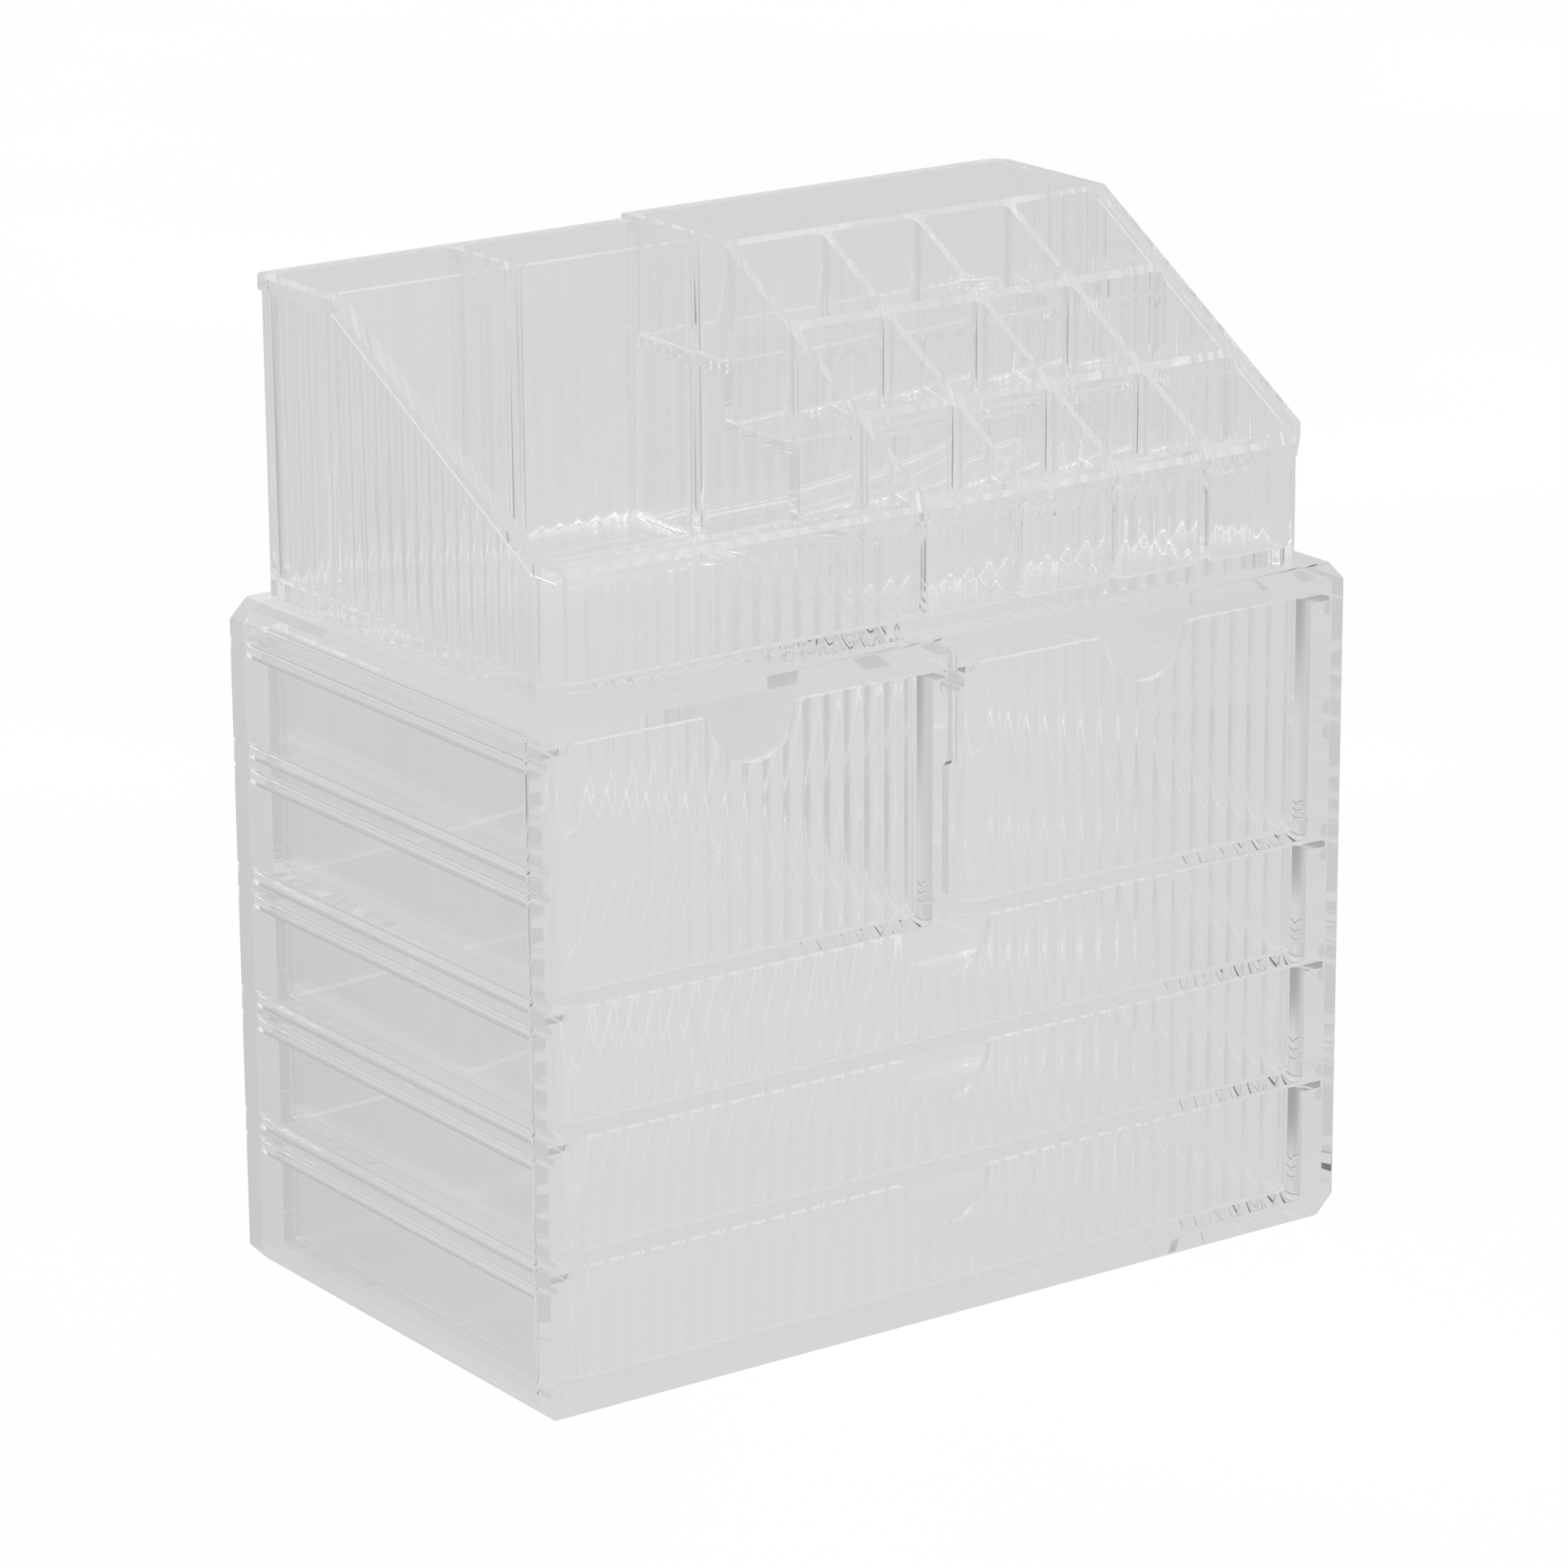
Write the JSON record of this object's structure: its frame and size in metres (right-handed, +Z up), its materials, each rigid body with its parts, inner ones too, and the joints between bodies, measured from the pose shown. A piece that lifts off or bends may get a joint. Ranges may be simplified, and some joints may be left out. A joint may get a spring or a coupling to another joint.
{
  "type": "makeup organiser with drawers",
  "caption": "Clear plastic makeup organiser: a case with ribbed sliding drawers under a sloping tray of cells and bays.",
  "frame": {"origin": "centre of the underside of the drawer case, on the table", "axes": "+X to the right seen from the front, +Y to the back, +Z up; drawers open towards -Y"},
  "size_m": [0.24, 0.1308, 0.2513],
  "materials": {
    "clear_case": "gloss",
    "clear_drawers": "gloss",
    "clear_tray": "gloss"
  },
  "bodies": {
    "case": {"drawer_case": "clear_case", "centre_divider": "clear_case"},
    "wide_drawer_1": {"wide_drawer_1": "clear_drawers"},
    "wide_drawer_2": {"wide_drawer_2": "clear_drawers"},
    "wide_drawer_3": {"wide_drawer_3": "clear_drawers"},
    "tall_drawer_left": {"tall_drawer_left": "clear_drawers"},
    "tall_drawer_right": {"tall_drawer_right": "clear_drawers"},
    "upper_tray": {"upper_tray": "clear_tray"}
  },
  "joints": [
    {"name": "wide_drawer_1_slide", "type": "slide", "parent": "case", "child": "wide_drawer_1", "axis": [0, -1, 0], "range_m": [0, 0.11]},
    {"name": "wide_drawer_2_slide", "type": "slide", "parent": "case", "child": "wide_drawer_2", "axis": [0, -1, 0], "range_m": [0, 0.11]},
    {"name": "wide_drawer_3_slide", "type": "slide", "parent": "case", "child": "wide_drawer_3", "axis": [0, -1, 0], "range_m": [0, 0.11]},
    {"name": "tall_drawer_left_slide", "type": "slide", "parent": "case", "child": "tall_drawer_left", "axis": [0, -1, 0], "range_m": [0, 0.11]},
    {"name": "tall_drawer_right_slide", "type": "slide", "parent": "case", "child": "tall_drawer_right", "axis": [0, -1, 0], "range_m": [0, 0.11]},
    {"name": "upper_tray_lift", "type": "slide", "parent": "case", "child": "upper_tray", "axis": [0, 0, 1], "range_m": [0, 0.08]}
  ]
}
